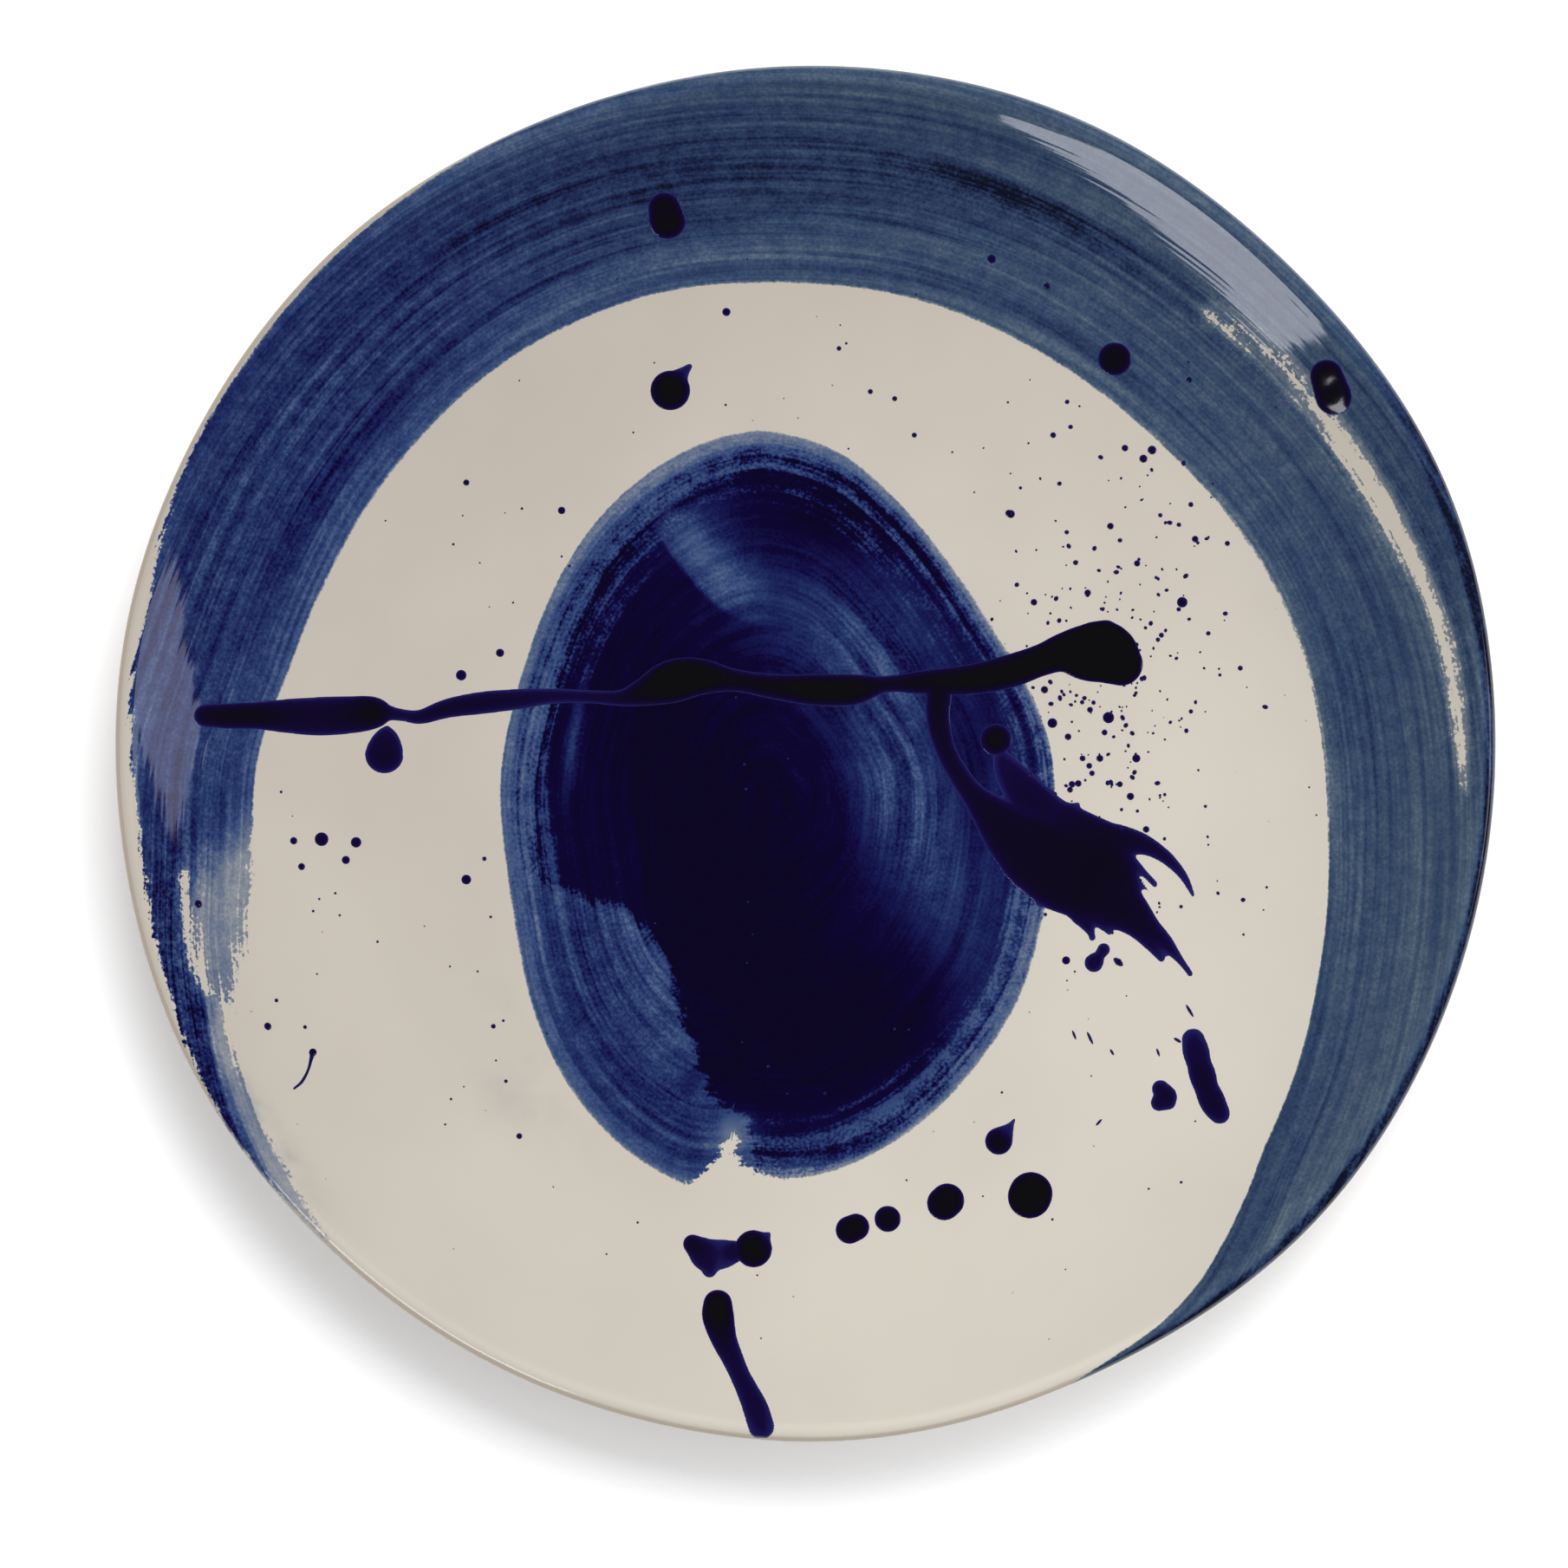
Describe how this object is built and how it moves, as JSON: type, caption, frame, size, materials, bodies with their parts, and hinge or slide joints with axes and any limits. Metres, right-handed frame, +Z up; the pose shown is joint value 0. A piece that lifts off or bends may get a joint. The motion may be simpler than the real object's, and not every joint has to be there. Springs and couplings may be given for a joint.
{
  "type": "serving plate",
  "caption": "Round shallow serving plate of glazed stoneware with an uneven raised lip, a foot ring, and brushed, poured and dripped cobalt decoration on a cream ground.",
  "frame": {"origin": "centre of the foot ring, on the surface that the plate stands on", "axes": "+Z up out of the eating surface, +Y towards the top of the painted design, +X to its right"},
  "size_m": [0.3519, 0.352, 0.0372],
  "materials": {
    "stoneware": "bare fired stoneware, matt and slightly gritty",
    "cream_glaze": "glossy warm cream glaze",
    "painted_glaze": "glossy cream glaze with a brushed cobalt band and oval",
    "cobalt_glaze": "thick glossy cobalt glaze, nearly black where it is deep"
  },
  "bodies": {
    "root": {"clay_body": "stoneware", "foot_ring": "stoneware", "face_glaze": "painted_glaze", "back_glaze": "cream_glaze", "foot_well_glaze": "cream_glaze", "poured_line": "cobalt_glaze", "splash": "cobalt_glaze", "splash_blob": "cobalt_glaze", "side_bar": "cobalt_glaze", "bow_left_drop": "cobalt_glaze", "lower_drip": "cobalt_glaze", "chain_drip": "cobalt_glaze", "band_drop_top": "cobalt_glaze", "band_drop_right": "cobalt_glaze", "band_drop_far_right": "cobalt_glaze", "upper_drop": "cobalt_glaze", "teardrop": "cobalt_glaze", "egg_drop": "cobalt_glaze", "bow_right_drop": "cobalt_glaze", "row_drop_1": "cobalt_glaze", "row_drop_2": "cobalt_glaze", "row_drop_3": "cobalt_glaze", "row_drop_4": "cobalt_glaze", "tailed_drop": "cobalt_glaze", "side_drop": "cobalt_glaze", "spot_01": "cobalt_glaze", "spot_02": "cobalt_glaze", "spot_03": "cobalt_glaze", "spot_04": "cobalt_glaze", "spot_05": "cobalt_glaze", "spot_06": "cobalt_glaze", "spot_07": "cobalt_glaze", "spot_08": "cobalt_glaze", "spot_09": "cobalt_glaze", "spot_10": "cobalt_glaze", "spot_11": "cobalt_glaze", "spot_12": "cobalt_glaze", "spot_13": "cobalt_glaze", "spot_14": "cobalt_glaze", "spot_15": "cobalt_glaze"}
  },
  "joints": []
}
